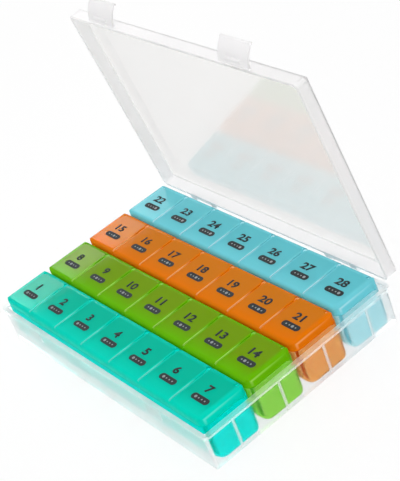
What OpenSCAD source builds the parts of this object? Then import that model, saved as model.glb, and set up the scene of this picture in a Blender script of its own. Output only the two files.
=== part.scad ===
// Monthly pill organizer: a frosted case with a hinged cover, holding one tray
// for each week, with a flip lid over each day's compartment.
// X runs along a week, Y from the front to the cover's hinge, and Z up.
// The origin is at the centre of the case's underside. The cover stands open.

/* [Week trays] */
// Weeks, with one tray each
weeks = 4; // [1:1:4]
// Days in a week, with one compartment each
days = 7; // [2:1:7]
// Distance from one day to the next
day_pitch = 26; // [22:0.5:34]
// Distance from one week to the next
week_pitch = 29.5; // [27:0.5:38]
// Free gap between neighbouring trays
tray_gap = 0.6; // [0.4:0.1:1.5]
// Height of a tray's front and side walls
tray_h = 21.8; // [17:0.1:30]
// Thickness of a tray's outer walls
tray_wall = 1.2; // [0.8:0.1:1.8]
// Thickness of the walls between two days
divider_t = 1.2; // [0.8:0.1:1.8]
// Thickness of a tray's floor
tray_floor = 1.2; // [0.8:0.1:2]
// Radius under a tray's front wall
tray_front_r = 7.5; // [4:0.5:10]
// Radius under a tray's rear wall
tray_rear_r = 4; // [2.5:0.5:6]
// Radius of a tray's upright corners
tray_corner_r = 4.5; // [1:0.1:5]

/* [Flip lids] */
// Height of a flip lid
lid_h = 4.7; // [4.2:0.1:7]
// Thickness of a lid's top
lid_top_t = 1.2; // [0.8:0.1:1.6]
// Thickness of a lid's skirt
lid_skirt = 1.8; // [1.4:0.1:2.2]
// Free gap between neighbouring lids
lid_gap = 0.4; // [0.3:0.1:0.8]
// Free gap between a closed lid and its tray
seat_gap = 0.2; // [0.2:0.05:0.5]
// Radius of a lid's front top edge
lid_front_r = 2.4; // [1.4:0.1:4]
// Radius of a lid's side edges, next to another lid
lid_side_r = 0.5; // [0.3:0.1:1.4]
// Radius of a lid's side edge at the end of a tray
lid_end_r = 2.4; // [1:0.1:3]
// Radius of a lid's upright corners, next to another lid
lid_corner_r = 0.6; // [0.4:0.1:2.4]
// Radius of a lid's upright corners at the end of a tray
lid_end_corner_r = 5; // [1:0.1:5]

/* [Flip lid hinges] */
// Radius of a lid's rounded back, about its hinge line
back_r = 2.8; // [2.4:0.1:3.4]
// Radius of the pins moulded on a lid
lid_pin_r = 1; // [0.7:0.05:1.2]
// Radius of the ears that carry the pins
ear_r = 2.4; // [1.9:0.1:2.6]
// Thickness of a lid's skin outside an ear at the end of a tray
end_skin = 0.5; // [0.4:0.1:1]
// Width of an ear between two lids
ear_w = 2.2; // [1.8:0.1:3]
// Half the depth of the post under an ear
ear_post = 1.6; // [1:0.1:1.8]
// Running clearance of every pin in its bore
pin_clearance = 0.05; // [0.03:0.01:0.1]
// Side gap between a hinge's moving faces
hinge_side_gap = 0.25; // [0.2:0.05:0.4]

/* [Case base] */
// How far the case's rim stays below the tops of the trays' walls
rim_drop = 1.5; // [0:0.1:2]
// Thickness of the case walls
case_wall = 1.4; // [1:0.1:2.5]
// Thickness of the case floor
case_floor = 1.6; // [1:0.1:3]
// Gap between the trays and the case walls
case_fit = 0.9; // [0.3:0.05:1.2]
// Radius of the case's upright corners
case_corner_r = 2; // [1.5:0.5:8]
// Radius round the case's underside
case_bottom_r = 1; // [0.5:0.1:1.4]
// How far the flange stands out from the walls
flange_w = 1.2; // [1.2:0.1:3]
// Thickness of the flange
flange_t = 1.3; // [1:0.1:2.5]
// Height of the collar below the flange
collar_h = 1.4; // [1:0.1:6]
// How far the collar, ribs and catches stand out from the walls
collar_t = 0.5; // [0.3:0.1:0.5]
// Width of the ribs on the end walls
rib_w = 1.3; // [1:0.1:4]

/* [Case cover] */
// Room between the lids and the shut cover
lid_room = 0.3; // [0.2:0.1:3]
// Thickness of the cover's walls
cover_wall = 1.5; // [1:0.1:2.5]
// Thickness of the cover's panel
panel_t = 1.3; // [1:0.1:1.6]
// Radius round the cover's outer edge
cover_edge_r = 2.6; // [1:0.1:3]
// Gap between the closed cover and the base
cover_gap = 0.2; // [0.1:0.05:0.5]
// Angle at which the cover stands open
cover_open = 82.5; // [60:0.5:100]

/* [Cover hinge] */
// Distance of each hinge from the middle of the case
hinge_x = 58; // [30:1:64]
// Radius of the hinge knuckles
knuckle_r = 1.5; // [1.4:0.1:2.4]
// Radius of the pins moulded on the cover
cover_pin_r = 1; // [0.7:0.05:1.1]
// Length of the cover's knuckle
knuckle_l = 14; // [8:0.5:20]
// Width of each ear on the base
base_ear_w = 5; // [3:0.5:8]
// Gap between the cover's knuckles and the case's rim
knuckle_lift = 0.5; // [0.3:0.1:1.2]

/* [Latches] */
// Place of the left latch along the front
latch_left_x = -62; // [-72:1:-30]
// Place of the right latch along the front
latch_right_x = 50; // [30:1:72]
// Width of a latch flap
latch_w = 22.5; // [15:0.5:32]
// Thickness of a latch flap
latch_t = 1.2; // [0.8:0.1:1.5]
// Length of a latch flap along its curve
latch_l = 11.5; // [9:0.1:16]
// Radius of a latch flap's curve
latch_bend_r = 15.4; // [12:0.1:24]
// Angle at which a latch flap leaves the cover
latch_rise = 12; // [0:1:30]
// Radius of a latch flap's root
latch_root_r = 0.8; // [0.75:0.05:1.2]
// Gap between a latch flap's root and the cover
latch_gap = 0.1; // [0.05:0.05:0.2]
// Radius of the bead that snaps under the flange
snap_r = 0.9; // [0.7:0.1:1.4]
// Width of the snap bead and of the catch pad
snap_w = 12; // [6:0.5:14]
// Height of the catch pad below the collar
catch_h = 6.6; // [3:0.1:9]

/* [Hidden] */
$fn = 64;
// Small overlap that makes joined shapes one solid and cuts clean
eps = 0.02;
// Smallest radius inside a moulded corner
least_r = 0.3;
frost = [0.93, 0.94, 0.95, 0.55];
week_colours = [[0.05, 0.76, 0.70], [0.42, 0.72, 0.10], [0.90, 0.48, 0.08], [0.42, 0.82, 0.90]];

// Trays
tray_l = days * day_pitch;
tray_d = week_pitch - tray_gap;
tray_z = case_floor;
tray_top = tray_z + tray_h;
day_w = day_pitch - divider_t;
cell_front_r = max(tray_front_r - tray_wall, least_r);
cell_rear_r = max(tray_rear_r - tray_wall, least_r);

// Flip lids and their hinge line
lid_w = day_pitch - lid_gap;
lid_z = tray_top + seat_gap;
lid_top = lid_z + lid_h;
lid_axis_y = tray_d / 2 - back_r;
lid_axis_z = lid_top - back_r;
back_half = day_pitch / 2 - ear_w / 2 - hinge_side_gap;
lid_pin_end = day_pitch / 2 - hinge_side_gap;
ear_bore_end = day_pitch / 2 - hinge_side_gap / 2;
// At a tray's end the ear stands inside the lid's rounded corner
ear_rear = min(max(lid_end_corner_r - back_r + ear_r, 0), lid_end_corner_r);
corner_inset = lid_end_corner_r - sqrt(pow(lid_end_corner_r, 2) - pow(ear_rear, 2));
skirt_inner = lid_w / 2 - lid_skirt;
end_slot_outer = min(skirt_inner, lid_w / 2 - corner_inset - end_skin);
end_ear_outer = end_slot_outer - hinge_side_gap;
end_ear_inner = end_ear_outer - ear_w / 2;
end_slot_inner = end_ear_inner - hinge_side_gap;
// The rear wall stops under the lid's rounded back
rear_top = lid_axis_z - sqrt(pow(back_r, 2) - pow(max(back_r - tray_wall, 0), 2)) - seat_gap;
ear_foot = tray_top - 2 * ear_r;

// Case
case_in_l = tray_l + 2 * case_fit;
case_in_d = weeks * week_pitch - tray_gap + 2 * case_fit;
case_l = case_in_l + 2 * case_wall;
case_d = case_in_d + 2 * case_wall;
base_h = tray_top - rim_drop;
rim_l = case_l + 2 * flange_w;
rim_d = case_d + 2 * flange_w;
rim_r = case_corner_r + flange_w;
collar_l = case_l + 2 * collar_t;
collar_d = case_d + 2 * collar_t;
collar_r = case_corner_r + collar_t;
flange_z = base_h - flange_t;
collar_z = flange_z - collar_h;
case_in_r = max(case_corner_r - case_wall, least_r);

// Cover, in its closed place
cover_z = base_h + cover_gap;
cover_h = lid_top + lid_room + panel_t - cover_z;
cover_in_l = rim_l - 2 * cover_wall;
cover_in_d = rim_d - 2 * cover_wall;
cover_in_r = max(rim_r - cover_wall, least_r);
hinge_off = knuckle_r - cover_gap;
cover_axis_y = rim_d / 2 + hinge_off;
hinge_rise = knuckle_r + knuckle_lift;
cover_axis_z = base_h + hinge_rise;
knuckle_relief = knuckle_r + cover_gap;
cover_pin_end = knuckle_l / 2 + base_ear_w - hinge_side_gap;

// Latches, in the cover's closed place
latch_axis_y = -rim_d / 2 - latch_gap - latch_root_r;
latch_axis_z = cover_z + latch_root_r + latch_gap;
latch_sweep = latch_l / latch_bend_r * 180 / PI;
snap_at = (cover_z - flange_z + snap_r) / latch_bend_r * 180 / PI;

function week_y(week) = (week - (weeks + 1) / 2) * week_pitch;
function day_x(day) = (day - (days + 1) / 2) * day_pitch;
function tray_name(week) = str("week_", week, "_tray");
function lid_name(week, day) = str("week_", week, "_lid_", day);

// A flat outline in Y and Z, drawn out along X about the middle
module along_x(length) {
    translate([-length / 2, 0, 0])
        rotate([90, 0, 90])
            linear_extrude(length)
                children();
}

// A flat outline in X and Z, drawn out along Y about the middle
module along_y(length) {
    translate([0, length / 2, 0])
        rotate([90, 0, 0])
            linear_extrude(length)
                children();
}

// A rectangle about the middle with its own radius at the left and right corners
module plate(length, depth, left_r, right_r) {
    left = -length / 2 + left_r;
    right = length / 2 - right_r;
    translate([left, -depth / 2])
        square([right - left, depth]);
    for (side = [-1, 1]) {
        translate([left, side * (depth / 2 - left_r)])
            circle(left_r);
        translate([right, side * (depth / 2 - right_r)])
            circle(right_r);
    }
    translate([-length / 2, -depth / 2 + left_r])
        square([left_r + eps, depth - 2 * left_r]);
    translate([right - eps, -depth / 2 + right_r])
        square([right_r + eps, depth - 2 * right_r]);
}

// A box outline from z0 to z1 whose upper corners are rounded
module dome(a0, a1, z0, z1, r0, r1) {
    intersection() {
        translate([a0, z0])
            square([a1 - a0, z1 - z0]);
        union() {
            translate([a0 + r0, z0])
                square([a1 - a0 - r0 - r1, z1 - z0]);
            translate([a0, z0])
                square([r0 + eps, z1 - z0 - r0]);
            translate([a1 - r1 - eps, z0])
                square([r1 + eps, z1 - z0 - r1]);
            translate([a0 + r0, z1 - r0])
                circle(r0);
            translate([a1 - r1, z1 - r1])
                circle(r1);
        }
    }
}

// A box outline from z0 to z1 whose lower corners are rounded
module trough(a0, a1, z0, z1, r0, r1) {
    translate([0, z0 + z1])
        mirror([0, 1])
            dome(a0, a1, z0, z1, r0, r1);
}

// A bar along X about the middle
module bar(length, r) {
    translate([-length / 2, 0, 0])
        rotate([0, 90, 0])
            cylinder(r = r, h = length);
}

// The outline of a tray or of its hollow, seen from the end
module tray_outline(wall, floor_t, top, front_r, rear_r) {
    trough(-tray_d / 2 + wall, tray_d / 2 - wall, tray_z + floor_t, top, front_r, rear_r);
}

// One ear for the lids' pins, on a post that stands against the rear wall
module lid_ear(x0, x1) {
    translate([(x0 + x1) / 2, lid_axis_y, lid_axis_z])
        bar(x1 - x0, ear_r);
    translate([x0, lid_axis_y - ear_post, ear_foot])
        cube([x1 - x0, back_r + ear_post - tray_wall / 2, rear_top - ear_foot]);
    translate([x0, lid_axis_y - ear_post, rear_top - eps])
        cube([x1 - x0, 2 * ear_post, lid_axis_z - rear_top + eps]);
}

// All the ears of a tray: on its dividers, and inside its two end lids
module tray_ears() {
    for (wall = [1:days - 1]) {
        x = day_x(wall) + day_pitch / 2;
        lid_ear(x - ear_w / 2, x + ear_w / 2);
    }
    lid_ear(day_x(1) - end_ear_outer, day_x(1) - end_ear_inner);
    lid_ear(day_x(days) + end_ear_inner, day_x(days) + end_ear_outer);
}

// A tray without its place in the case
module tray_body() {
    difference() {
        union() {
            difference() {
                along_x(tray_l)
                    tray_outline(0, 0, tray_top, tray_front_r, tray_rear_r);
                translate([-tray_l, tray_d / 2 - tray_wall, rear_top])
                    cube([2 * tray_l, 2 * tray_wall, tray_h]);
                translate([0, lid_axis_y, lid_axis_z])
                    bar(2 * tray_l, back_r + seat_gap);
                for (day = [1:days])
                    translate([day_x(day), 0, 0])
                        along_x(day_w)
                            tray_outline(tray_wall, tray_floor, 2 * tray_top, cell_front_r, cell_rear_r);
            }
            tray_ears();
        }
        for (day = [1:days])
            translate([day_x(day), lid_axis_y, lid_axis_z])
                bar(2 * ear_bore_end, lid_pin_r + pin_clearance);
    }
}

// A week's tray, with its upright corners rounded
module week_tray(week) {
    color(week_colours[week - 1])
        translate([0, week_y(week), 0])
            intersection() {
                tray_body();
                linear_extrude(lid_top + lid_h)
                    plate(tray_l, tray_d, tray_corner_r, tray_corner_r);
            }
}

// The outside of a flip lid, seen from the end
module lid_outline() {
    dome(-tray_d / 2, lid_axis_y, lid_z, lid_top, lid_front_r, eps);
    translate([lid_axis_y, lid_axis_z])
        circle(back_r);
}

// The hollow under a flip lid, seen from the end
module lid_hollow() {
    front_r = max(lid_front_r - lid_skirt, least_r);
    dome(-tray_d / 2 + lid_skirt, lid_axis_y, lid_z - back_r, lid_top - lid_top_t, front_r, eps);
    translate([lid_axis_y, lid_axis_z])
        circle(back_r - lid_top_t);
}

// A flip lid about the middle of its day; its sides at a tray's end differ
module lid_body(left_end, right_end) {
    left_r = left_end ? lid_end_r : lid_side_r;
    right_r = right_end ? lid_end_r : lid_side_r;
    left_corner_r = left_end ? lid_end_corner_r : lid_corner_r;
    right_corner_r = right_end ? lid_end_corner_r : lid_corner_r;
    left_in_r = max(left_corner_r - lid_skirt, least_r);
    right_in_r = max(right_corner_r - lid_skirt, least_r);
    difference() {
        intersection() {
            along_x(lid_w)
                lid_outline();
            along_y(2 * tray_d)
                dome(-lid_w / 2, lid_w / 2, lid_z - back_r, lid_top, left_r, right_r);
            linear_extrude(lid_top + lid_h)
                plate(lid_w, tray_d, left_corner_r, right_corner_r);
        }
        intersection() {
            along_x(2 * skirt_inner)
                lid_hollow();
            linear_extrude(lid_top)
                plate(2 * skirt_inner, tray_d - 2 * lid_skirt, left_in_r, right_in_r);
        }
        lid_ear_slot(-1, left_end);
        lid_ear_slot(1, right_end);
    }
    lid_pin(-1, left_end);
    lid_pin(1, right_end);
}

// The space that a lid leaves for one ear
module lid_ear_slot(side, at_end) {
    inner = at_end ? end_slot_inner : back_half;
    outer = at_end ? end_slot_outer : day_pitch;
    translate([side * (inner + outer) / 2, lid_axis_y, lid_axis_z])
        bar(outer - inner, back_r + eps);
}

// One pin of a lid: it points inwards from the skirt at a tray's end
module lid_pin(side, at_end) {
    inner = at_end ? end_slot_inner : back_half - eps;
    outer = at_end ? skirt_inner + eps : lid_pin_end;
    translate([side * (inner + outer) / 2, lid_axis_y, lid_axis_z])
        bar(outer - inner, lid_pin_r);
}

// The lid of one day in one week
module flip_lid(week, day) {
    color(week_colours[week - 1])
        translate([day_x(day), week_y(week), 0])
            lid_body(day == 1, day == days);
}

// The base's walls before they are hollowed, with all that stands out from them
module base_walls() {
    intersection() {
        linear_extrude(base_h - eps)
            plate(case_l, case_d, case_corner_r, case_corner_r);
        along_y(2 * case_d)
            trough(-case_l / 2, case_l / 2, 0, base_h, case_bottom_r, case_bottom_r);
        along_x(2 * case_l)
            trough(-case_d / 2, case_d / 2, 0, base_h, case_bottom_r, case_bottom_r);
    }
    translate([0, 0, collar_z])
        linear_extrude(collar_h + eps)
            plate(collar_l, collar_d, collar_r, collar_r);
    translate([0, 0, flange_z])
        linear_extrude(flange_t)
            plate(rim_l, rim_d, rim_r, rim_r);
    for (week = [1:weeks])
        translate([-collar_l / 2, week_y(week) - rib_w / 2, case_bottom_r])
            cube([collar_l, rib_w, collar_z - case_bottom_r + eps]);
    for (x = [latch_left_x, latch_right_x])
        translate([x - snap_w / 2, -collar_d / 2, collar_z - catch_h])
            cube([snap_w, case_wall, catch_h + eps]);
    at_base_ears()
        base_ear();
}

// Each of the places of the base's hinge ears, on the cover's hinge line
module at_base_ears() {
    for (side = [-1, 1], ear = [-1, 1])
        translate([side * hinge_x + ear * (knuckle_l + base_ear_w) / 2, cover_axis_y, cover_axis_z])
            children();
}

// One of the base's hinge ears, on a post that stands behind the flange
module base_ear() {
    post_front = cover_gap - hinge_off;
    bar(base_ear_w, knuckle_r);
    translate([-base_ear_w / 2, post_front, -hinge_rise - flange_t])
        cube([base_ear_w, knuckle_r - post_front, hinge_rise + flange_t]);
    translate([-base_ear_w / 2, -hinge_off - flange_w, -hinge_rise - flange_t])
        cube([base_ear_w, hinge_off + flange_w, flange_t]);
}

module case_base() {
    color(frost)
        difference() {
            base_walls();
            translate([0, 0, case_floor])
                linear_extrude(base_h)
                    plate(case_in_l, case_in_d, case_in_r, case_in_r);
            for (side = [-1, 1])
                translate([side * hinge_x, cover_axis_y, cover_axis_z])
                    bar(knuckle_l + 2 * base_ear_w + eps, cover_pin_r + pin_clearance);
        }
}

// Turns a piece of the cover from its closed place to its open one
module opened() {
    translate([0, cover_axis_y, cover_axis_z])
        rotate([-cover_open, 0, 0])
            translate([0, -cover_axis_y, -cover_axis_z])
                children();
}

// The cover's outside, with its edge rounded all round
module cover_shell() {
    top = cover_z + cover_h;
    intersection() {
        translate([0, 0, cover_z])
            linear_extrude(cover_h)
                plate(rim_l, rim_d, rim_r, rim_r);
        along_y(2 * rim_d)
            dome(-rim_l / 2, rim_l / 2, 0, top, cover_edge_r, cover_edge_r);
        along_x(2 * rim_l)
            dome(-rim_d / 2, rim_d / 2, 0, top, cover_edge_r, cover_edge_r);
    }
}

// The cover's knuckle with the pins that turn in the base's ears
module cover_knuckle() {
    length = knuckle_l - 2 * hinge_side_gap;
    bar(length, knuckle_r);
    bar(2 * cover_pin_end, cover_pin_r);
    translate([-length / 2, -hinge_off - cover_wall / 2, cover_z - cover_axis_z])
        cube([length, hinge_off + cover_wall / 2, cover_axis_z - cover_z]);
}

module case_cover() {
    color(frost)
        opened() {
            difference() {
                cover_shell();
                translate([0, 0, cover_z - eps])
                    linear_extrude(cover_h - panel_t + eps)
                        plate(cover_in_l, cover_in_d, cover_in_r, cover_in_r);
                at_base_ears()
                    bar(base_ear_w + 2 * hinge_side_gap, knuckle_relief);
            }
            for (side = [-1, 1])
                translate([side * hinge_x, cover_axis_y, cover_axis_z])
                    cover_knuckle();
        }
}

// The flap's curve, seen from the end, from its root outwards along -Y
module latch_outline() {
    start = latch_rise - 90;
    reach = 2 * latch_bend_r;
    translate([latch_bend_r * sin(latch_rise), latch_bend_r * cos(latch_rise)])
        mirror([1, 0]) {
            intersection() {
                difference() {
                    circle(latch_bend_r + latch_t / 2);
                    circle(latch_bend_r - latch_t / 2);
                }
                polygon([
                    [0, 0],
                    reach * [cos(start), sin(start)],
                    reach * [cos(start + latch_sweep), sin(start + latch_sweep)]
                ]);
            }
            rotate(start)
                translate([latch_bend_r, 0])
                    circle(latch_root_r);
            rotate(start + latch_sweep)
                translate([latch_bend_r, 0])
                    circle(latch_t * 3 / 4);
        }
}

// A latch flap, standing out from the open cover
module latch(x) {
    start = latch_rise - 90;
    color(frost)
        opened()
            translate([x, latch_axis_y, latch_axis_z]) {
                along_x(latch_w)
                    latch_outline();
                along_x(snap_w)
                    translate([latch_bend_r * sin(latch_rise), latch_bend_r * cos(latch_rise)])
                        mirror([1, 0])
                            rotate(start + snap_at)
                                translate([latch_bend_r + latch_t / 2, 0])
                                    circle(snap_r);
            }
}

case_base();
case_cover();
latch(latch_left_x);  // latch_left
latch(latch_right_x);  // latch_right
for (week = [1:weeks])
    week_tray(week);
for (week = [1:weeks], day = [1:days])
    flip_lid(week, day);
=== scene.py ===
"""Looks of a monthly pill organizer: a frosted case with four tinted week trays and their flip lids."""

import logging
import math
from dataclasses import dataclass, field, replace
from enum import Enum
from typing import Iterable

import bmesh
import bpy
from mathutils import Matrix, Vector


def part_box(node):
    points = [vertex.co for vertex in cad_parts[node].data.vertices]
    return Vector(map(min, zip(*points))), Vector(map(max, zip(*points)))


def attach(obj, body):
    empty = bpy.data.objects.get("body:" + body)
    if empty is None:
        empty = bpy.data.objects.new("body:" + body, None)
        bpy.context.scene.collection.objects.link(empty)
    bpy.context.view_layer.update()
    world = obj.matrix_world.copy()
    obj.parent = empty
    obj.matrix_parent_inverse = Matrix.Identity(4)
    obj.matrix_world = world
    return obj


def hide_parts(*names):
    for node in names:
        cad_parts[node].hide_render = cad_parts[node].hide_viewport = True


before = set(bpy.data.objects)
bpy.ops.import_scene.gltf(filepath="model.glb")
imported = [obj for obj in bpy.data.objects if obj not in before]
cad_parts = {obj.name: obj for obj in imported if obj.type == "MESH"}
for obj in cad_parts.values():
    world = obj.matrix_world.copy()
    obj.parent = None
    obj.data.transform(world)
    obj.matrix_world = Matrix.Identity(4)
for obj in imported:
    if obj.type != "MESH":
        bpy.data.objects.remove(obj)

LOG = logging.getLogger("pill_organizer")
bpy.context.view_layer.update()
MM = 0.001
DAYS_IN_WEEK = 7
PHOTO_WIDTH_PX = 400
SENSOR_MM = 36.0
# Roughness of the milky sheen on the clear plastics
HAZE_SPREAD = 0.24
# Height of a full step in a moulded skin
GRAIN_HEIGHT = 0.01 * MM
# Least part of its normal that a flat face has along one axis
FLAT_LIMIT = 0.985
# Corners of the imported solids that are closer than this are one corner
MERGE_GAP = 0.002 * MM
# Faces that turn less than this against each other are one face, in degrees
MERGE_ANGLE = 0.4
# How strongly large faces set the evened normals, in percent
LARGE_FACE_WEIGHT = 80
# Room that a face's place is given when it is compared with a wall's
SLACK = 0.05 * MM
# Corners this close to a cutting plane count as lying on it
CUT_GAP = 0.001 * MM
# Corners this close to a middle line count as lying on it
HAIR = 0.0001 * MM
# Values that the lids carry: how thick the wall looks, with a painted glow, and how strong the painted highlight
# on the edge is
THICKNESS_GLOW_ATTRIBUTE = "thickness_and_painted_glow"
HIGHLIGHT_ATTRIBUTE = "painted_highlight"
Colour = tuple[float, float, float]


class Week(Enum):
    """The four weeks, counted from the front, each with the name of its tint."""

    TEAL = 1
    GREEN = 2
    ORANGE = 3
    BLUE = 4


class Grip(Enum):
    """The two latch flaps, with the CAD names that they go by."""

    LEFT = "latch_left"
    RIGHT = "latch_right"


def rgba(colour: Colour) -> tuple[float, float, float, float]:
    """Returns a linear colour with full alpha."""
    return (*colour, 1.0)


def srgb(red: int, green: int, blue: int) -> Colour:
    """Turns screen values from 0 to 255 into a linear colour.

    Args:
        red: Red on the screen.
        green: Green on the screen.
        blue: Blue on the screen.

    Returns:
        The linear colour.
    """
    def linear(value: int) -> float:
        """Returns one channel in linear light."""
        part = value / 255
        return part / 12.92 if part <= 0.04045 else ((part + 0.055) / 1.055) ** 2.4

    return linear(red), linear(green), linear(blue)


class NodeGroups:
    """Shader node groups that several finishes share, each built once.

    Attributes:
        scratch_turn: How the scratches lie, in radians about each axis.
        scratch_scale: How fine they are along each axis, in cells to the metre.
        scuff_range: Noise values between which a scratch goes from none to full.
        slow_wave: Height of the flow marks, against the grain's.
        drift_scale: How fine the tint's slow drift is, in cells to the metre.
    """

    scratch_turn: tuple[float, float, float] = (0.3, 0.2, 0.9)
    scratch_scale: tuple[float, float, float] = (60.0, 900.0, 300.0)
    scuff_range: tuple[float, float] = (0.62, 0.78)
    slow_wave: float = 3.0
    drift_scale: float = 60.0
    _made: dict[str, bpy.types.NodeTree] = {}

    @classmethod
    def moulded_skin(cls) -> bpy.types.NodeTree:
        """Builds the skin of moulded plastic: fine spark-eroded grain, slow flow marks and a few scuffs.

        Returns:
            The group, with the outputs Roughness and Height.
        """
        if "moulded_skin" in cls._made:
            return cls._made["moulded_skin"]
        tree = bpy.data.node_groups.new("moulded_skin", "ShaderNodeTree")
        for name, default in (
            ("Roughness", 0.2), ("Spread", 0.1), ("Grain Scale", 2500.0),
            ("Flow Scale", 40.0), ("Scuff", 0.1),
        ):
            socket = tree.interface.new_socket(name, in_out="INPUT", socket_type="NodeSocketFloat")
            socket.default_value = default
        tree.interface.new_socket("Roughness", in_out="OUTPUT", socket_type="NodeSocketFloat")
        tree.interface.new_socket("Height", in_out="OUTPUT", socket_type="NodeSocketFloat")
        nodes, links = tree.nodes, tree.links
        inputs, outputs = nodes.new("NodeGroupInput"), nodes.new("NodeGroupOutput")
        coords = nodes.new("ShaderNodeTexCoord")

        grain = nodes.new("ShaderNodeTexNoise")
        grain.inputs["Detail"].default_value = 2.0
        links.new(coords.outputs["Object"], grain.inputs["Vector"])
        links.new(inputs.outputs["Grain Scale"], grain.inputs["Scale"])

        flow = nodes.new("ShaderNodeTexNoise")
        flow.inputs["Detail"].default_value = 3.0
        flow.inputs["Distortion"].default_value = 0.6
        links.new(coords.outputs["Object"], flow.inputs["Vector"])
        links.new(inputs.outputs["Flow Scale"], flow.inputs["Scale"])

        stretch = nodes.new("ShaderNodeMapping")
        stretch.inputs["Rotation"].default_value = cls.scratch_turn
        stretch.inputs["Scale"].default_value = cls.scratch_scale
        links.new(coords.outputs["Object"], stretch.inputs["Vector"])
        scratches = nodes.new("ShaderNodeTexNoise")
        scratches.inputs["Scale"].default_value = 1.0
        scratches.inputs["Detail"].default_value = 4.0
        links.new(stretch.outputs["Vector"], scratches.inputs["Vector"])
        scuffs = nodes.new("ShaderNodeMapRange")
        for name, value in zip(("From Min", "From Max"), cls.scuff_range):
            scuffs.inputs[name].default_value = value
        links.new(scratches.outputs["Fac"], scuffs.inputs["Value"])

        centred = cls._maths(tree, "SUBTRACT", flow.outputs["Fac"], 0.5)
        spread = cls._maths(tree, "MULTIPLY", centred, inputs.outputs["Spread"])
        worn = cls._maths(tree, "MULTIPLY", scuffs.outputs["Result"], inputs.outputs["Scuff"])
        rough = cls._maths(tree, "ADD", inputs.outputs["Roughness"], spread)
        rough = cls._maths(tree, "ADD", rough, worn)
        links.new(rough, outputs.inputs["Roughness"])
        slow = cls._maths(tree, "MULTIPLY", flow.outputs["Fac"], cls.slow_wave)
        height = cls._maths(tree, "ADD", grain.outputs["Fac"], slow)
        links.new(height, outputs.inputs["Height"])
        cls._made["moulded_skin"] = tree
        return tree

    @classmethod
    def tint_flow(cls) -> bpy.types.NodeTree:
        """Builds the tint of a moulded resin: its thick shade where it is thick, which on the lids is a painted
        glow, slowly drifting, with a painted highlight at edges.

        Returns:
            The group, with the output Color.
        """
        if "tint_flow" in cls._made:
            return cls._made["tint_flow"]
        tree = bpy.data.node_groups.new("tint_flow", "ShaderNodeTree")
        for name in ("Thin Shade", "Thick Shade", "Edge Shade"):
            tree.interface.new_socket(name, in_out="INPUT", socket_type="NodeSocketColor")
        for name, default in (("Thickness", 0.5), ("Drift", 0.3), ("Edge", 0.0)):
            socket = tree.interface.new_socket(name, in_out="INPUT", socket_type="NodeSocketFloat")
            socket.default_value = default
        tree.interface.new_socket("Color", in_out="OUTPUT", socket_type="NodeSocketColor")
        nodes, links = tree.nodes, tree.links
        inputs, outputs = nodes.new("NodeGroupInput"), nodes.new("NodeGroupOutput")
        coords = nodes.new("ShaderNodeTexCoord")
        drift = nodes.new("ShaderNodeTexNoise")
        drift.inputs["Scale"].default_value = cls.drift_scale
        drift.inputs["Detail"].default_value = 2.0
        links.new(coords.outputs["Object"], drift.inputs["Vector"])
        centred = cls._maths(tree, "SUBTRACT", drift.outputs["Fac"], 0.5)
        swayed = cls._maths(tree, "MULTIPLY", centred, inputs.outputs["Drift"])
        depth = cls._maths(tree, "ADD", inputs.outputs["Thickness"], swayed)
        # Thin to thick shade; on the lids the thick shade is brighter, a painted glow along the thick walls.
        thickness_and_glow = cls._colour_mix(tree, depth, inputs.outputs["Thin Shade"], inputs.outputs["Thick Shade"])
        # Painted highlight: the Edge input blends in the Edge Shade where a lamp would glint on an edge.
        highlighted = cls._colour_mix(tree, inputs.outputs["Edge"], thickness_and_glow, inputs.outputs["Edge Shade"])
        links.new(highlighted, outputs.inputs["Color"])
        cls._made["tint_flow"] = tree
        return tree

    @staticmethod
    def _colour_mix(tree: bpy.types.NodeTree, factor: bpy.types.NodeSocket, first: bpy.types.NodeSocket,
                    second: bpy.types.NodeSocket) -> bpy.types.NodeSocket:
        """Adds one Mix node for colours.

        Args:
            tree: The tree that gets the node.
            factor: What blends from the first colour to the second.
            first: The colour at 0.
            second: The colour at 1.

        Returns:
            The node's colour.
        """
        node = tree.nodes.new("ShaderNodeMix")
        node.data_type = "RGBA"
        tree.links.new(factor, node.inputs["Factor"])
        ends = [socket for socket in node.inputs if socket.type == "RGBA"]
        tree.links.new(first, ends[0])
        tree.links.new(second, ends[1])
        return next(socket for socket in node.outputs if socket.type == "RGBA")

    @staticmethod
    def _maths(tree: bpy.types.NodeTree, operation: str, first: bpy.types.NodeSocket,
               second: bpy.types.NodeSocket | float) -> bpy.types.NodeSocket:
        """Adds one Math node.

        Args:
            tree: The tree that gets the node.
            operation: Blender's name of the operation.
            first: What feeds its first input.
            second: What feeds its second input, or a number.

        Returns:
            The node's output socket.
        """
        node = tree.nodes.new("ShaderNodeMath")
        node.operation = operation
        tree.links.new(first, node.inputs[0])
        if isinstance(second, float):
            node.inputs[1].default_value = second
        else:
            tree.links.new(second, node.inputs[1])
        return node.outputs[0]


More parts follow.
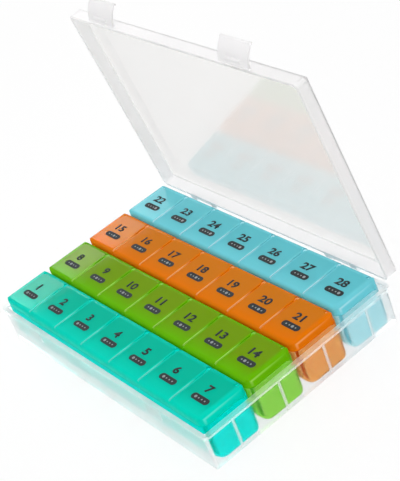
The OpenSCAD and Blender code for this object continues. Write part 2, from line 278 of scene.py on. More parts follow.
@dataclass(frozen=True)
class ClearPlastic:
    """A see-through moulded plastic.

    Attributes:
        name: The material's name.
        thin: Its shade where the wall is thin.
        thick: Its shade where the wall is thick.
        shadow: Tint of the light that passes on to what lies below.
        through: The share of light that passes, against what scatters in the resin.
        roughness: Roughness of the surface.
        spread: How much the roughness drifts over the surface.
        scuff: How much roughness the scuffs add, as a share of the spread.
        grain_depth: Strength of the moulded grain.
        gloss: Strength of the mirror gloss, where 0.5 is that of a polished resin.
        haze: Milkiness that shows at a grazing look.
        glow: How far light spreads inside the resin, in metres.
        ior: How strongly it bends light.
        edge: Its shade for the painted highlight along edges where a lamp would glint.
        thickness_and_highlight_map: Whether the piece carries its wall thickness, which paints a glow, and its
            painted highlights as attributes.
    """

    name: str
    thin: Colour
    thick: Colour
    shadow: Colour
    through: float = 0.45
    roughness: float = 0.05
    spread: float = 0.03
    scuff: float = 0.5
    grain_depth: float = 0.1
    gloss: float = 0.025
    haze: float = 0.0
    glow: float = 0.0
    ior: float = 1.15
    edge: Colour = (1.0, 1.0, 1.0)
    thickness_and_highlight_map: bool = False

    def material(self) -> bpy.types.Material:
        """Makes the material on first use.

        Returns:
            The material.
        """
        known = bpy.data.materials.get(self.name)
        if known:
            return known
        material = bpy.data.materials.new(self.name)
        material.use_nodes = True
        nodes, links = material.node_tree.nodes, material.node_tree.links
        shader = nodes["Principled BSDF"]
        shader.inputs["Transmission Weight"].default_value = self.through
        shader.inputs["IOR"].default_value = self.ior
        shader.inputs["Specular IOR Level"].default_value = self.gloss
        shader.inputs["Sheen Weight"].default_value = self.haze
        if self.glow > 0:
            shader.inputs["Subsurface Weight"].default_value = 1.0
            shader.inputs["Subsurface Radius"].default_value = (1.0, 1.0, 1.0)
            shader.inputs["Subsurface Scale"].default_value = self.glow
        shader.inputs["Sheen Roughness"].default_value = HAZE_SPREAD

        tint = nodes.new("ShaderNodeGroup")
        tint.node_tree = NodeGroups.tint_flow()
        tint.inputs["Thin Shade"].default_value = rgba(self.thin)
        tint.inputs["Thick Shade"].default_value = rgba(self.thick)
        tint.inputs["Edge Shade"].default_value = rgba(self.edge)
        # On the lids these attributes paint a glow where the wall is thick and highlights on the edges.
        if self.thickness_and_highlight_map:
            for name, socket in ((THICKNESS_GLOW_ATTRIBUTE, "Thickness"), (HIGHLIGHT_ATTRIBUTE, "Edge")):
                carried = nodes.new("ShaderNodeAttribute")
                carried.attribute_name = name
                links.new(carried.outputs["Fac"], tint.inputs[socket])
        links.new(tint.outputs["Color"], shader.inputs["Base Color"])

        skin = nodes.new("ShaderNodeGroup")
        skin.node_tree = NodeGroups.moulded_skin()
        skin.inputs["Roughness"].default_value = self.roughness
        skin.inputs["Spread"].default_value = self.spread
        skin.inputs["Scuff"].default_value = self.spread * self.scuff
        links.new(skin.outputs["Roughness"], shader.inputs["Roughness"])
        bump = nodes.new("ShaderNodeBump")
        bump.inputs["Strength"].default_value = self.grain_depth
        bump.inputs["Distance"].default_value = GRAIN_HEIGHT
        links.new(skin.outputs["Height"], bump.inputs["Height"])
        links.new(bump.outputs["Normal"], shader.inputs["Normal"])

        rays = nodes.new("ShaderNodeLightPath")
        passing = nodes.new("ShaderNodeBsdfTransparent")
        passing.inputs["Color"].default_value = rgba(self.shadow)
        mix = nodes.new("ShaderNodeMixShader")
        links.new(rays.outputs["Is Shadow Ray"], mix.inputs["Fac"])
        links.new(shader.outputs["BSDF"], mix.inputs[1])
        links.new(passing.outputs["BSDF"], mix.inputs[2])
        links.new(mix.outputs["Shader"], nodes["Material Output"].inputs["Surface"])
        return material


@dataclass(frozen=True)
class PrintInk:
    """Pad-printed ink: nearly matt, with small pinholes and an uneven film.

    Attributes:
        name: The material's name.
        colour: The ink's colour.
        thin: Its colour where the film is thin.
        roughness: Roughness of the film.
        spread: How much the roughness drifts over the film.
        gloss: Strength of its mirror gloss.
    """

    name: str
    colour: Colour
    thin: Colour
    roughness: float = 0.5
    spread: float = 0.15
    gloss: float = 0.1

    def material(self) -> bpy.types.Material:
        """Makes the material on first use.

        Returns:
            The material.
        """
        known = bpy.data.materials.get(self.name)
        if known:
            return known
        material = bpy.data.materials.new(self.name)
        material.use_nodes = True
        nodes, links = material.node_tree.nodes, material.node_tree.links
        shader = nodes["Principled BSDF"]
        tint = nodes.new("ShaderNodeGroup")
        tint.node_tree = NodeGroups.tint_flow()
        tint.inputs["Thin Shade"].default_value = rgba(self.thin)
        tint.inputs["Thick Shade"].default_value = rgba(self.colour)
        links.new(tint.outputs["Color"], shader.inputs["Base Color"])
        skin = nodes.new("ShaderNodeGroup")
        skin.node_tree = NodeGroups.moulded_skin()
        skin.inputs["Roughness"].default_value = self.roughness
        skin.inputs["Spread"].default_value = self.spread
        links.new(skin.outputs["Roughness"], shader.inputs["Roughness"])
        shader.inputs["Specular IOR Level"].default_value = self.gloss
        return material


CASE_SHADOW = (0.95, 0.96, 0.96)
FROST = ClearPlastic(
    "case_frosted_plastic", srgb(252, 252, 252), srgb(246, 248, 249), CASE_SHADOW,
    through=1.0, roughness=0.3, spread=0.05, grain_depth=0.02, gloss=0.15, haze=0.9,
)
VEILED = ClearPlastic(
    "case_veiled_plastic", srgb(250, 251, 251), srgb(245, 247, 247), CASE_SHADOW,
    through=0.88, roughness=0.42, spread=0.06, grain_depth=0.02, gloss=0.15, haze=0.8,
)
PANEL = ClearPlastic(
    "case_panel_plastic", srgb(255, 254, 253), srgb(253, 252, 251), CASE_SHADOW,
    through=1.0, roughness=0.1, spread=0.03, scuff=0.05, grain_depth=0.01, gloss=0.5,
    haze=0.6, ior=1.45,
)
PANEL_OUTSIDE = replace(PANEL, name="case_textured_plastic", roughness=0.235)
MILKY = ClearPlastic(
    "case_milky_plastic", srgb(243, 242, 242), srgb(239, 238, 239), CASE_SHADOW,
    through=0.45, roughness=0.35, spread=0.08, grain_depth=0.05, gloss=0.15, haze=0.8,
)
# The lids' thick shades are brighter than their thin ones, a painted glow along thick walls; their edge shades
# are painted highlights.
LID_TINTS = {
    Week.TEAL: ClearPlastic(
        "teal_lid_plastic", srgb(0, 198, 174), srgb(0, 226, 208), (0.45, 0.95, 0.92),
        edge=srgb(130, 244, 236), thickness_and_highlight_map=True,
    ),
    Week.GREEN: ClearPlastic(
        "green_lid_plastic", srgb(138, 172, 26), srgb(124, 200, 4), (0.71, 0.95, 0.5),
        edge=srgb(196, 240, 110), thickness_and_highlight_map=True,
    ),
    Week.ORANGE: ClearPlastic(
        "orange_lid_plastic", srgb(218, 142, 34), srgb(238, 140, 8), (0.98, 0.78, 0.5),
        edge=srgb(255, 204, 130), thickness_and_highlight_map=True,
    ),
    Week.BLUE: ClearPlastic(
        "blue_lid_plastic", srgb(117, 207, 215), srgb(134, 221, 230), (0.74, 0.95, 0.98),
        edge=srgb(214, 248, 255), thickness_and_highlight_map=True,
    ),
}
TEAL_TRAY = ClearPlastic(
    "teal_tray_plastic", srgb(0, 234, 222), srgb(0, 228, 216), (0.9, 0.99, 0.98),
    through=0.2, glow=4 * MM,
)
TRAY_TINTS = {
    Week.TEAL: TEAL_TRAY,
    Week.GREEN: replace(
        TEAL_TRAY, name="green_tray_plastic",
        thin=srgb(146, 216, 84), thick=srgb(138, 210, 70), shadow=(0.95, 0.99, 0.92),
    ),
    Week.ORANGE: replace(
        TEAL_TRAY, name="orange_tray_plastic",
        thin=srgb(238, 162, 96), thick=srgb(234, 154, 84), shadow=(0.99, 0.97, 0.92),
    ),
    Week.BLUE: replace(
        TEAL_TRAY, name="blue_tray_plastic",
        thin=srgb(180, 232, 240), thick=srgb(170, 228, 238), shadow=(0.96, 0.99, 1.0),
    ),
}
DARK_INK = PrintInk("dark_print_ink", srgb(34, 40, 42), srgb(46, 52, 54))
PALE_INK = PrintInk("pale_print_ink", srgb(150, 156, 158), srgb(130, 136, 138))


@dataclass
class SolidCopy:
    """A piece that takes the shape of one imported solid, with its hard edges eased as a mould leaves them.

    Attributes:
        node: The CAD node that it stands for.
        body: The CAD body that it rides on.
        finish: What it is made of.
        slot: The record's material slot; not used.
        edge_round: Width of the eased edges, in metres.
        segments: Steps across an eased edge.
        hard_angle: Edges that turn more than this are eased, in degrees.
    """

    node: str
    body: str
    finish: ClearPlastic
    slot: str
    edge_round: float = 0.2 * MM
    segments: int = 2
    hard_angle: float = 40.0
    piece: bpy.types.Object | None = field(default=None, init=False)

    def build(self) -> bpy.types.Object:
        """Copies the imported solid, merges it and eases its hard edges.

        Returns:
            The piece, which replaces the node and rides on its body.
        """
        bm = bmesh.new()
        bm.from_mesh(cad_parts[self.node].data)
        bmesh.ops.remove_doubles(bm, verts=bm.verts, dist=MERGE_GAP)
        bmesh.ops.dissolve_limit(bm, angle_limit=math.radians(MERGE_ANGLE), verts=bm.verts, edges=bm.edges)
        limit = math.radians(self.hard_angle)
        hard = [e for e in bm.edges if e.is_manifold and e.calc_face_angle() > limit]
        bmesh.ops.bevel(bm, geom=hard, offset=self.edge_round, offset_type="OFFSET",
                        segments=self.segments, profile=0.5, affect="EDGES", clamp_overlap=True, material=-1)
        for face in bm.faces:
            face.smooth = True
        for edge in bm.edges:
            edge.smooth = not edge.is_manifold or edge.calc_face_angle() < limit
        self._refine(bm)
        self.piece = finished_piece(f"{self.node}_moulding", bm, self.body)
        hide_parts(self.node)
        return self.piece

    def _refine(self, bm: bmesh.types.BMesh) -> None:
        """Adds what a kind of moulding has of its own; the plain kind has nothing.

        Args:
            bm: The eased shape.
        """

    def dress(self) -> None:
        """Gives the piece its plastic."""
        self.piece.data.materials.append(self.finish.material())
        evened = self.piece.modifiers.new("even_normals", "WEIGHTED_NORMAL")
        evened.keep_sharp = True
        evened.weight = LARGE_FACE_WEIGHT


@dataclass
class CaseMoulding(SolidCopy):
    """A piece of the case, whose edges and thick parts scatter more light than its plain walls.

    Attributes:
        edge_finish: What the edges and the thick parts look like.
    """

    edge_finish: ClearPlastic = MILKY

    def _refine(self, bm: bmesh.types.BMesh) -> None:
        """Marks which of the piece's materials each face has.

        Args:
            bm: The eased shape.
        """
        for face in bm.faces:
            face.material_index = self._finish_of(face)

    def _finish_of(self, face: bmesh.types.BMFace) -> int:
        """Tells which of the piece's materials a face has.

        Args:
            face: The face in question.

        Returns:
            0 on flat faces, 1 on rounded ones.
        """
        return 0 if max(abs(part) for part in face.normal) > FLAT_LIMIT else 1

    def dress(self) -> None:
        """Gives the piece its plastic, and its edges the milkier look."""
        super().dress()
        self.piece.data.materials.append(self.edge_finish.material())


@dataclass
class BaseMoulding(CaseMoulding):
    """The case's base: rim, ribs, catches and hinge ears stand out from its walls, and its long walls are veiled.

    Attributes:
        wall_finish: What the long walls look like.
        rim: Height of the rim's upper face, in metres.
        rim_width: How far the rim stands out from the walls, in metres.
        rim_depth: How far the rim reaches down, in metres.
    """

    wall_finish: ClearPlastic = VEILED
    rim: float = 21.9 * MM
    rim_width: float = 1.2 * MM
    rim_depth: float = 1.35 * MM
    _low: Vector | None = field(default=None, init=False)
    _high: Vector | None = field(default=None, init=False)

    def _refine(self, bm: bmesh.types.BMesh) -> None:
        """Finds where the walls are, then marks each face's material.

        Args:
            bm: The eased shape.
        """
        low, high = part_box(self.node)
        inset = self.rim_width - SLACK
        self._low = Vector((low.x + inset, low.y + inset, low.z - MM))
        self._high = Vector((high.x - inset, -low.y - inset, self.rim - SLACK))
        super()._refine(bm)

    def _finish_of(self, face: bmesh.types.BMFace) -> int:
        """Tells which of the piece's materials a face has.

        Args:
            face: The face in question.

        Returns:
            0 on the end walls and the floor, 1 on edges and what stands out, 2 on the long walls and the rim.
        """
        middle = face.calc_center_median()
        if super()._finish_of(face) == 1:
            return 1
        if self.rim - self.rim_depth < middle.z < self.rim + SLACK:
            return 2
        if not all(a < b < c for a, b, c in zip(self._low, middle, self._high)):
            return 1
        return 2 if abs(face.normal.y) > FLAT_LIMIT else 0

    def dress(self) -> None:
        """Gives the piece its plastics."""
        super().dress()
        self.piece.data.materials.append(self.wall_finish.material())


@dataclass
class CoverMoulding(CaseMoulding):
    """The case's cover: a panel inside milky walls, glossy within and finely textured outside.

    Attributes:
        outer_finish: What the panel's outer face looks like.
        least_panel: Area that only the panel's faces have, in square metres.
    """

    outer_finish: ClearPlastic = PANEL_OUTSIDE
    least_panel: float = 2000.0 * MM * MM

    def _finish_of(self, face: bmesh.types.BMFace) -> int:
        """Tells which of the piece's materials a face has.

        Args:
            face: The face in question.

        Returns:
            0 on the panel's inner face, 1 on the walls and their edges, 2 on the panel's outer face.
        """
        if face.calc_area() < self.least_panel:
            return 1
        return 0 if face.normal.y < 0 else 2

    def dress(self) -> None:
        """Gives the piece its plastics."""
        super().dress()
        self.piece.data.materials.append(self.outer_finish.material())


@dataclass(frozen=True)
class Band:
    """A border of a lid's top, along one of its four sides, that shows as thick wall with a painted glow.

    Attributes:
        axis: 0 for a side at the lid's end, 1 for its front or back.
        side: -1 for the side at the low end of the axis, 1 for the other.
        width: Where it is full, in metres.
        fade: Over how much more it fades, in metres.
    """

    axis: int
    side: int
    width: float
    fade: float

    def depth(self, point: Vector, low: Vector, high: Vector) -> float:
        """Returns how far a point lies inside the lid's side, in metres."""
        return point[self.axis] - low[self.axis] if self.side < 0 else high[self.axis] - point[self.axis]

    def share(self, point: Vector, low: Vector, high: Vector) -> float:
        """Returns 1 within the band, 0 inside it, and what lies between where it fades."""
        left = self.width + self.fade - self.depth(point, low, high)
        return min(1.0, max(0.0, left / self.fade))


@dataclass
class LidMoulding(SolidCopy):
    """A flip lid: thick along its front and back with a painted glow there, thin over its hollow, with painted
    highlights on its side edges.

    Attributes:
        bands: The borders that show as thick.
        cut_depth: Faces no deeper than this below the top are cut where a border turns, in metres.
        highlight_depth: How far the painted highlights on the side edges reach in and down, in metres.
        highlight_from: Where the painted highlights begin to show, from the lid's middle to its front, in metres.
        highlight_fade: Over how much they come up, in metres.
        end_side: -1 or 1 on the lid at that end of the row, which is rounded and has a painted glint, 0 on the
            others.
        end_round: Radius of the rounded end, in metres.
        end_glow_fade: Over how much the rounded end's painted glow fades, in metres.
        glint_at: Where on the round the painted glint lies, in degrees above level.
        glint_width: How far it reaches to either side, in degrees.
    """

    bands: tuple[Band, ...] = (
        Band(1, -1, 2.0 * MM, 10.0 * MM), Band(1, 1, 1.4 * MM, 2.0 * MM),
        Band(0, -1, 0.6 * MM, 1.0 * MM), Band(0, 1, 0.6 * MM, 1.0 * MM),
    )
    cut_depth: float = 0.6 * MM
    highlight_depth: float = 0.5 * MM
    highlight_from: float = -4.0 * MM
    highlight_fade: float = 6.0 * MM
    end_side: int = 0
    end_round: float = 2.4 * MM
    end_glow_fade: float = 2.0 * MM
    glint_at: float = 38.0
    glint_width: float = 15.0

    def _refine(self, bm: bmesh.types.BMesh) -> None:
        """Writes how thick the wall looks, with its painted glow, and the painted highlights on its side edges,
        on the lid's top.

        Args:
            bm: The eased shape.
        """
        low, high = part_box(self.node)
        middle = (low + high) / 2
        # On the rounded end the painted glow spans the whole round.
        glowing_end = {"width": self.end_round, "fade": self.end_glow_fade}
        bands = [
            replace(band, **glowing_end) if (band.axis, band.side) == (0, self.end_side) else band
            for band in self.bands
        ]
        cuts = [(1, middle.y - self.highlight_from), (1, middle.y - self.highlight_from - self.highlight_fade)]
        for band in bands:
            start = low[band.axis] if band.side < 0 else high[band.axis]
            reaches = (band.width, band.width + band.fade)
            cuts += [(band.axis, start - band.side * reach) for reach in reaches]
        for axis, at in cuts:
            self._cut_top(bm, axis, at, high.z - self.cut_depth)
        thickness_and_glow = bm.verts.layers.float.new(THICKNESS_GLOW_ATTRIBUTE)
        light = bm.verts.layers.float.new(HIGHLIGHT_ATTRIBUTE)
        for vert in bm.verts:
            # Thickness with a painted glow: full within each band, fading inwards.
            vert[thickness_and_glow] = max(band.share(vert.co, low, high) for band in bands)
            # Painted highlight: along the side edges, and as a glint on the rounded end, stronger towards the
            # front.
            rise = min(1.0, max(0.0, (middle.y - self.highlight_from - vert.co.y) / self.highlight_fade))
            inner = high.x - vert.co.x if self.end_side < 0 else vert.co.x - low.x
            outer = high.x - low.x - inner
            if min(inner, outer if self.end_side == 0 else inner) < self.highlight_depth:
                vert[light] = rise if vert.co.z > high.z - self.highlight_depth else 0.0
            elif self.end_side != 0 and outer < self.end_round:
                angle = math.atan2(vert.co.z - high.z + self.end_round, self.end_round - outer)
                apart = abs(math.degrees(angle) - self.glint_at)
                vert[light] = rise * max(0.0, 1.0 - apart / self.glint_width)

    @staticmethod
    def _cut_top(bm: bmesh.types.BMesh, axis: int, at: float, above: float) -> None:
        """Cuts the faces near the lid's top along one line, so that an attribute can turn there.

        Args:
            bm: The shape that gets the cut.
            axis: The axis that the cutting plane stands across.
            at: Where it stands on that axis.
            above: The height from which faces are cut.
        """
        top = [face for face in bm.faces if face.calc_center_median().z > above]
        geom = list({*top, *(e for f in top for e in f.edges), *(v for f in top for v in f.verts)})
        place, normal = Vector(), Vector()
        place[axis], normal[axis] = at, 1.0
        bmesh.ops.bisect_plane(bm, geom=geom, dist=CUT_GAP, plane_co=place, plane_no=normal)


def finished_piece(name: str, bm: bmesh.types.BMesh, body: str) -> bpy.types.Object:
    """Turns a bmesh into a piece that rides on a body, and frees the bmesh.

    Args:
        name: The piece's name.
        bm: Its shape, in the shared frame.
        body: The CAD body that it rides on.

    Returns:
        The new object.
    """
    mesh = bpy.data.meshes.new(name)
    bm.to_mesh(mesh)
    bm.free()
    if mesh.has_custom_normals:
        mesh.attributes.remove(mesh.attributes["custom_normal"])
    piece = bpy.data.objects.new(name, mesh)
    bpy.context.scene.collection.objects.link(piece)
    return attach(piece, body)


@dataclass
class DayPrint:
    """The print on one flip lid: the day's number above a dark badge whose dots count the week.

    Attributes:
        week: The week that the lid belongs to.
        day: The day in that week, from 1.
        centre: Middle of the lid's top, in metres.
        film: Thickness of the ink, in metres.
        lift: How far the ink lies clear of the lid, in metres.
        number_height: Height of the digits, in metres.
        number_stretch: Width of the digits, against the font's own.
        number_weight: How much bolder they are than the font, against its height.
        number_steps: Steps along each curve of a digit.
        number_place: Middle of the number, from the lid's middle, in metres.
        badge_place: Middle of the badge, from the lid's middle, in metres.
        badge_size: Length and width of the badge, in metres.
        badge_steps: Corners round its two ends.
        dot_radius: Mean radius of a dot, in metres.
        dot_pitch: From one dot to the next, in metres.
        dot_steps: Corners round a dot.
        own_dot: Radius of the week's own dot, against the mean.
        other_dot: Radius of the other dots, against the mean.
    """

    week: Week
    day: int
    centre: Vector
    film: float = 0.04 * MM
    lift: float = 0.005 * MM
    number_height: float = 4.9 * MM
    number_stretch: float = 1.3
    number_weight: float = 0.035
    number_steps: int = 6
    number_place: tuple[float, float] = (-0.6 * MM, 2.6 * MM)
    badge_place: tuple[float, float] = (0.3 * MM, -4.1 * MM)
    badge_size: tuple[float, float] = (12.6 * MM, 3.9 * MM)
    badge_steps: int = 48
    dot_radius: float = 0.62 * MM
    dot_pitch: float = 2.3 * MM
    dot_steps: int = 16
    own_dot: float = 1.35
    other_dot: float = 0.7
    pieces: list[bpy.types.Object] = field(default_factory=list, init=False)

    @property
    def lid(self) -> str:
        """Returns the name of the lid that carries the print."""
        return f"week_{self.week.value}_lid_{self.day}"

    def build(self) -> list[bpy.types.Object]:
        """Makes the number, the badge and its dots.

        Returns:
            The print's pieces.
        """
        dark = bmesh.new()
        self._number(dark)
        self._badge(dark)
        pale = bmesh.new()
        self._dots(pale)
        self.pieces = [
            finished_piece(f"{self.lid}_print", dark, self.lid),
            finished_piece(f"{self.lid}_dots", pale, self.lid),
        ]
        for piece in self.pieces:
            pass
        return self.pieces

    def dress(self) -> None:
        """Inks the print."""
        for piece, ink in zip(self.pieces, (DARK_INK, PALE_INK)):
            piece.data.materials.append(ink.material())

    def _number(self, bm: bmesh.types.BMesh) -> None:
        """Adds the day's number in the month.

        Args:
            bm: The shape that gets it.
        """
        text = bpy.data.curves.new(f"{self.lid}_number", "FONT")
        text.body = str((self.week.value - 1) * DAYS_IN_WEEK + self.day)
        text.align_x, text.align_y = "CENTER", "CENTER"
        text.size = 1.0
        text.offset = self.number_weight
        text.resolution_u = self.number_steps
        holder = bpy.data.objects.new(f"{self.lid}_number", text)
        flat = bmesh.new()
        flat.from_mesh(holder.to_mesh())
        holder.to_mesh_clear()
        bpy.data.objects.remove(holder)
        bpy.data.curves.remove(text)
        low = Vector(min(v.co[i] for v in flat.verts) for i in range(3))
        high = Vector(max(v.co[i] for v in flat.verts) for i in range(3))
        scale = self.number_height / (high.y - low.y)
        bmesh.ops.translate(flat, verts=flat.verts, vec=-(low + high) / 2)
        bmesh.ops.scale(flat, verts=flat.verts, vec=(scale * self.number_stretch, scale, 1.0))
        raise_film(flat, flat.faces[:], self.film)
        bmesh.ops.translate(flat, verts=flat.verts, vec=self._place(self.number_place))
        append(bm, flat)

    def _badge(self, bm: bmesh.types.BMesh) -> None:
        """Adds the badge, a rounded bar.

        Args:
            bm: The shape that gets it.
        """
        radius = self.badge_size[1] / 2
        reach = self.badge_size[0] / 2 - radius
        made = bmesh.ops.create_circle(bm, cap_ends=True, segments=self.badge_steps, radius=radius)["verts"]
        for side in (-1, 1):
            half = [v for v in made if v.co.x * side > HAIR]
            bmesh.ops.translate(bm, verts=half, vec=(side * reach, 0.0, 0.0))
        faces = list({f for v in made for f in v.link_faces})
        top = raise_film(bm, faces, self.film)
        bmesh.ops.translate(bm, verts=made + top, vec=self._place(self.badge_place))

    def _dots(self, bm: bmesh.types.BMesh) -> None:
        """Adds four dots, of which the week's own is the large one.

        Args:
            bm: The shape that gets them.
        """
        middle = (len(Week) + 1) / 2
        for week in Week:
            radius = self.dot_radius * (self.own_dot if week is self.week else self.other_dot)
            made = bmesh.ops.create_circle(bm, cap_ends=True, segments=self.dot_steps, radius=radius)["verts"]
            faces = list({f for v in made for f in v.link_faces})
            top = raise_film(bm, faces, self.film)
            across = (week.value - middle) * self.dot_pitch
            place = self._place(self.badge_place) + Vector((across, 0.0, self.film))
            bmesh.ops.translate(bm, verts=made + top, vec=place)

    def _place(self, offset: tuple[float, float]) -> Vector:
        """Returns a point on the lid's top, at an offset from its middle."""
        return self.centre + Vector((*offset, self.lift))


def raise_film(bm: bmesh.types.BMesh, faces: Iterable[bmesh.types.BMFace],
               height: float) -> list[bmesh.types.BMVert]:
    """Raises flat faces into a thin closed film.

    Args:
        bm: The shape that holds them.
        faces: The flat faces.
        height: How thick the film is.

    Returns:
        The vertices of the raised side.
    """
    raised = bmesh.ops.extrude_face_region(bm, geom=list(faces), use_keep_orig=True)["geom"]
    top = [g for g in raised if isinstance(g, bmesh.types.BMVert)]
    bmesh.ops.translate(bm, verts=top, vec=(0.0, 0.0, height))
    bmesh.ops.recalc_face_normals(bm, faces=bm.faces)
    return top


def append(bm: bmesh.types.BMesh, other: bmesh.types.BMesh) -> None:
    """Adds one bmesh to another and frees it.

    Args:
        bm: The shape that grows.
        other: The shape that is added.
    """
    carrier = bpy.data.meshes.new("carrier")
    other.to_mesh(carrier)
    other.free()
    bm.from_mesh(carrier)
    bpy.data.meshes.remove(carrier)


@dataclass
class WeekStrip:
    """One week: its tray and its seven lids with their print.

    Attributes:
        week: Which week it is.
        days: How many lids it has.
        lid_round: Width of the lids' eased edges, in metres.
    """

    week: Week
    days: int = DAYS_IN_WEEK
    lid_round: float = 0.15 * MM
    mouldings: list[SolidCopy] = field(default_factory=list, init=False)
    prints: list[DayPrint] = field(default_factory=list, init=False)

    def build(self) -> list[bpy.types.Object]:
        """Makes the tray, the lids and their print.

        Returns:
            The strip's pieces.
        """
        body = f"week_{self.week.value}"
        slot = f"{body}_tint"
        made = []
        self.mouldings.append(SolidCopy(f"{body}_tray", body, TRAY_TINTS[self.week], slot))
        for day in range(1, self.days + 1):
            lid = f"{body}_lid_{day}"
            end_side = {1: -1, self.days: 1}.get(day, 0)
            self.mouldings.append(
                LidMoulding(lid, lid, LID_TINTS[self.week], slot, edge_round=self.lid_round, end_side=end_side)
            )
            low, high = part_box(lid)
            middle = Vector(((low.x + high.x) / 2, (low.y + high.y) / 2, high.z))
            self.prints.append(DayPrint(self.week, day, middle))
        for moulding in self.mouldings:
            made.append(moulding.build())
        for day_print in self.prints:
            made.extend(day_print.build())
        return made

    def dress(self) -> None:
        """Gives the strip its tint and its ink."""
        for part in (*self.mouldings, *self.prints):
            part.dress()


@dataclass
class CarryingCase:
    """The frosted case: base, cover and two latch flaps.

    Attributes:
        slot: The record's material slot.
        edge_round: Width of the eased edges of the shells, in metres.
        flap_round: Width of the eased edges of the flaps, in metres.
    """

    slot: str = "case_frost"
    edge_round: float = 0.35 * MM
    flap_round: float = 0.2 * MM
    mouldings: list[SolidCopy] = field(default_factory=list, init=False)

    def build(self) -> list[bpy.types.Object]:
        """Makes the case's four mouldings.

        Returns:
            The case's pieces.
        """
        self.mouldings = [
            BaseMoulding("case_base", "case", FROST, self.slot, edge_round=self.edge_round),
            CoverMoulding("case_cover", "cover", PANEL, self.slot, edge_round=self.edge_round),
        ]
        for grip in Grip:
            flap = SolidCopy(grip.value, grip.value, MILKY, self.slot, edge_round=self.flap_round)
            self.mouldings.append(flap)
        return [moulding.build() for moulding in self.mouldings]

    def dress(self) -> None:
        """Gives the case its frosted plastic."""
        for moulding in self.mouldings:
            moulding.dress()


@dataclass(frozen=True)
class SoftLight:
    """A soft box.

    Attributes:
        name: Its name.
        place: Where it stands, in metres.
        aim: The point that it faces, in metres.
        size: Its width and height, in metres.
        watts: Its power.
    """

    name: str
    place: tuple[float, float, float]
    aim: tuple[float, float, float]
    size: tuple[float, float]
    watts: float

    def build(self) -> bpy.types.Object:
        """Makes the lamp and turns it to its aim.

        Returns:
            The lamp's object.
        """
        lamp = bpy.data.lights.new(self.name, "AREA")
        lamp.shape = "RECTANGLE"
        lamp.size, lamp.size_y = self.size
        lamp.energy = self.watts
        holder = bpy.data.objects.new(self.name, lamp)
        bpy.context.scene.collection.objects.link(holder)
        facing = Vector(self.aim) - Vector(self.place)
        turn = facing.to_track_quat("-Z", "Y").to_matrix().to_4x4()
        holder.matrix_world = Matrix.Translation(self.place) @ turn
        return holder


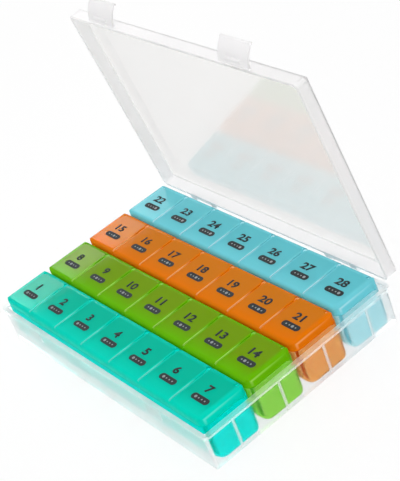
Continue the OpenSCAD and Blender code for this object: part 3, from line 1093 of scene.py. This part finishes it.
@dataclass
class Studio:
    """Floor, background, lamps and camera.

    Attributes:
        focal_px: Focal length in pixels of the 400 pixel wide picture.
        azimuth: The camera's turn from the front towards the right, in degrees.
        elevation: Its height above the horizon, in degrees.
        roll: How far the picture leans, in degrees.
        distance: From the camera to its target, in metres.
        target: The point in the middle of the picture, in metres.
        clip: The nearest and the furthest that the camera sees, in metres.
        floor_size: Length of the floor's sides, in metres.
        floor_drop: How far the floor lies below the case, in metres.
        paper: Brightness of the floor.
        paper_roughness: Its roughness.
        paper_gloss: Strength of its mirror gloss.
        paper_white: How much of plain white the picture shows in its place.
        room_light: Strength of the even light that the room gives.
        lights: The soft boxes.
    """

    focal_px: float = 1403.5
    azimuth: float = 63.19
    elevation: float = 32.69
    roll: float = 21.55
    distance: float = 0.7608
    target: tuple[float, float, float] = (-22.84 * MM, 33.0 * MM, 28.4 * MM)
    clip: tuple[float, float] = (0.01, 20.0)
    floor_size: float = 8.0
    floor_drop: float = 0.1 * MM
    paper: float = 0.92
    paper_roughness: float = 0.35
    paper_gloss: float = 0.3
    paper_white: float = 0.85
    room_light: float = 0.55
    lights: tuple[SoftLight, ...] = (
        SoftLight("overhead_box", (0.1, 0.0, 1.3), (0.0, 0.0, 0.0), (1.4, 1.4), 7.0),
        SoftLight("front_box", (1.2, -0.8, 0.6), (0.0, 0.0, 0.03), (0.9, 0.9), 7.0),
        SoftLight("side_box", (-0.9, 0.35, 0.538), (0.0, 0.35, 0.538), (0.5, 0.1), 1.8),
    )

    def build(self) -> None:
        """Sets up the whole studio."""
        self._floor()
        self._background()
        for light in self.lights:
            light.build()
        self._camera()
        bpy.context.scene.view_settings.view_transform = "Standard"

    def _floor(self) -> None:
        """Lays the pale floor, which goes white in the picture and keeps the object's shadow."""
        bm = bmesh.new()
        bmesh.ops.create_grid(bm, x_segments=1, y_segments=1, size=self.floor_size / 2)
        bmesh.ops.translate(bm, verts=bm.verts, vec=(0.0, 0.0, -self.floor_drop))
        mesh = bpy.data.meshes.new("studio_floor")
        bm.to_mesh(mesh)
        bm.free()
        floor = bpy.data.objects.new("studio_floor", mesh)
        bpy.context.scene.collection.objects.link(floor)
        material = bpy.data.materials.new("pale_floor")
        material.use_nodes = True
        nodes, links = material.node_tree.nodes, material.node_tree.links
        paper = nodes["Principled BSDF"]
        paper.inputs["Base Color"].default_value = rgba((self.paper,) * 3)
        paper.inputs["Roughness"].default_value = self.paper_roughness
        paper.inputs["Specular IOR Level"].default_value = self.paper_gloss
        white = nodes.new("ShaderNodeEmission")
        white.inputs["Color"].default_value = rgba((1.0, 1.0, 1.0))
        mix = nodes.new("ShaderNodeMixShader")
        seen = self._seen_rays(material.node_tree)
        faint = nodes.new("ShaderNodeMath")
        faint.operation = "MULTIPLY"
        faint.inputs[1].default_value = self.paper_white
        links.new(seen, faint.inputs[0])
        links.new(faint.outputs[0], mix.inputs["Fac"])
        links.new(paper.outputs["BSDF"], mix.inputs[1])
        links.new(white.outputs["Emission"], mix.inputs[2])
        links.new(mix.outputs["Shader"], nodes["Material Output"].inputs["Surface"])
        mesh.materials.append(material)

    @staticmethod
    def _seen_rays(tree: bpy.types.NodeTree) -> bpy.types.NodeSocket:
        """Adds the test for rays that show the background: camera, glossy and transmission rays.

        Args:
            tree: The tree that gets the nodes.

        Returns:
            A socket that is 1 on such rays.
        """
        rays = tree.nodes.new("ShaderNodeLightPath")
        seen = rays.outputs["Is Camera Ray"]
        for name in ("Is Glossy Ray", "Is Transmission Ray"):
            either = tree.nodes.new("ShaderNodeMath")
            either.operation = "MAXIMUM"
            tree.links.new(seen, either.inputs[0])
            tree.links.new(rays.outputs[name], either.inputs[1])
            seen = either.outputs[0]
        return seen

    def _background(self) -> None:
        """Makes the background white where it shows, and a plain even light elsewhere."""
        world = bpy.data.worlds.new("studio")
        bpy.context.scene.world = world
        world.use_nodes = True
        nodes, links = world.node_tree.nodes, world.node_tree.links
        nodes["Background"].inputs["Color"].default_value = rgba((1.0, 1.0, 1.0))
        strength = nodes.new("ShaderNodeMapRange")
        strength.inputs["To Min"].default_value = self.room_light
        strength.inputs["To Max"].default_value = 1.0
        links.new(self._seen_rays(world.node_tree), strength.inputs["Value"])
        links.new(strength.outputs["Result"], nodes["Background"].inputs["Strength"])

    def _camera(self) -> None:
        """Places the camera at the photograph's viewing angle."""
        turn, rise, lean = (math.radians(a) for a in (self.azimuth, self.elevation, self.roll))
        level_out = Vector((math.sin(turn), -math.cos(turn), 0.0))
        outward = math.cos(rise) * level_out + Vector((0.0, 0.0, math.sin(rise)))
        level = Vector((math.cos(turn), math.sin(turn), 0.0))
        upright = outward.cross(level)
        right = math.cos(lean) * level - math.sin(lean) * upright
        up = math.sin(lean) * level + math.cos(lean) * upright
        place = Vector(self.target) + self.distance * outward
        camera = bpy.data.cameras.new("photo_camera")
        camera.sensor_fit = "HORIZONTAL"
        camera.sensor_width = SENSOR_MM
        camera.lens = self.focal_px / PHOTO_WIDTH_PX * SENSOR_MM
        camera.clip_start, camera.clip_end = self.clip
        holder = bpy.data.objects.new("photo_camera", camera)
        bpy.context.scene.collection.objects.link(holder)
        holder.matrix_world = Matrix(
            [(right[i], up[i], outward[i], place[i]) for i in range(3)] + [(0.0, 0.0, 0.0, 1.0)]
        )
        bpy.context.scene.camera = holder


def main() -> None:
    """Sets up the studio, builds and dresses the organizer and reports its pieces."""
    logging.basicConfig(level=logging.INFO, format="%(name)s: %(message)s")
    Studio().build()
    for assembly in (CarryingCase(), *(WeekStrip(week) for week in Week)):
        for piece in assembly.build():
            LOG.info("%s, %d faces", piece.name, len(piece.data.polygons))
        assembly.dress()


if __name__ == "__main__":
    main()
